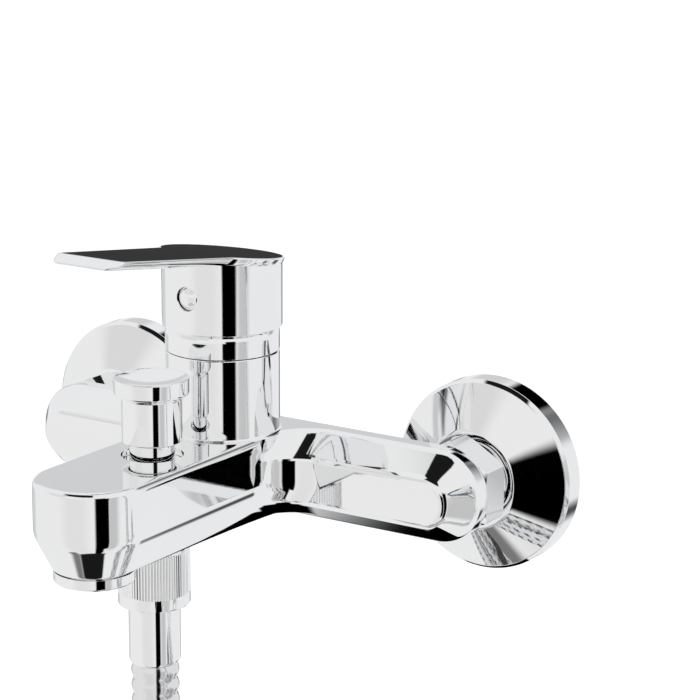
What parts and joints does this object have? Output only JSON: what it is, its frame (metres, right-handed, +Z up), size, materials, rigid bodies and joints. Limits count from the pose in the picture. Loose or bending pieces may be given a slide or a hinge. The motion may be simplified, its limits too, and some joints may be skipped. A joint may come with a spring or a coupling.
{
  "type": "wall mounted bath mixer with hand shower",
  "caption": "Chrome single lever bath mixer on an exposed wall bar, with spout, pull diverter, metal hose, hand shower and wall bracket.",
  "frame": {"origin": "on the finished wall, half way between the two inlets, at the height of their axis", "axes": "+X to the right along the wall, +Y into the wall, +Z up; the spout points along -Y"},
  "size_m": [0.4179, 0.1663, 0.3392],
  "materials": {
    "chrome": "polished chrome plate",
    "brass": "machined brass",
    "steel": "turned stainless steel",
    "black_inlay": "satin black inlay",
    "grey_plastic": "moulded",
    "white_plastic": "moulded",
    "face_plastic": "satin blue grey",
    "ceramic": "lapped ceramic",
    "rubber": "moulded rubber",
    "nozzle_rubber": "green silicone",
    "hose_steel": "polished wound strip",
    "strap": "woven hook and loop strap"
  },
  "bodies": {
    "mixer": {"aerator_insert": "white_plastic", "aerator_shell": "chrome", "aerator_washer": "rubber", "bracket_fork": "chrome", "bracket_plate": "chrome", "bracket_screw_lower": "steel", "bracket_screw_upper": "steel", "cartridge_base_seal": "rubber", "cartridge_fixed_disc": "ceramic", "cartridge_housing": "grey_plastic", "cartridge_retaining_nut": "brass", "diverter_bonnet": "chrome", "diverter_packing": "rubber", "eccentric_union_left": "chrome", "eccentric_union_right": "chrome", "hose_coil": "hose_steel", "hose_ferrule": "chrome", "hose_lead": "hose_steel", "hose_nut": "chrome", "hose_tail": "hose_steel", "hose_tie": "strap", "hose_washer": "rubber", "inlet_filter_left": "steel", "inlet_filter_right": "steel", "mixer_body": "chrome", "neck_ring": "chrome", "outlet_nipple": "brass", "seat_nipple_left": "brass", "seat_nipple_right": "brass", "union_nut_left": "chrome", "union_nut_right": "chrome", "union_washer_left": "rubber", "union_washer_right": "rubber", "wall_rosette_left": "chrome", "wall_rosette_right": "chrome"},
    "rotor": {"cartridge_rotor": "white_plastic", "spindle_pin": "steel"},
    "handle": {"handle": "chrome", "handle_inlay": "black_inlay", "handle_set_screw": "steel", "index_plug": "chrome", "spindle": "brass"},
    "moving_disc": {"cartridge_moving_disc": "ceramic", "cartridge_disc_carrier": "white_plastic"},
    "diverter": {"diverter_knob": "chrome", "diverter_stem": "steel", "diverter_seal": "rubber"},
    "hand_shower": {"shower_handle": "chrome", "shower_head_shell": "chrome", "shower_face_ring": "face_plastic", "shower_spray_plate": "face_plastic", "shower_nozzle_mat": "nozzle_rubber", "shower_cone_nut": "chrome", "shower_washer": "rubber", "hose_end_collar": "chrome"}
  },
  "joints": [
    {"name": "lever_turn", "type": "hinge", "parent": "mixer", "child": "rotor", "pos_m": [0, -0.0542, 0.0415], "axis": [0, 0, 1], "range_deg": [-50, 50]},
    {"name": "lever_lift", "type": "hinge", "parent": "rotor", "child": "handle", "pos_m": [0, -0.0542, 0.0415], "axis": [-1, 0, 0], "range_deg": [0, 22]},
    {"name": "disc_slide", "type": "slide", "parent": "rotor", "child": "moving_disc", "axis": [0, -1, 0], "range_m": [0, 0.007]},
    {"name": "diverter_push", "type": "slide", "parent": "mixer", "child": "diverter", "axis": [0, 0, -1], "range_m": [0, 0.0065]},
    {"name": "hand_shower_lift", "type": "slide", "parent": "mixer", "child": "hand_shower", "axis": [0, -0.2079, 0.9781], "range_m": [0, 0.04]}
  ],
  "couplings": [
    {"joint": "disc_slide", "follows": "lever_lift", "m_per_rad": 0.0175}
  ]
}
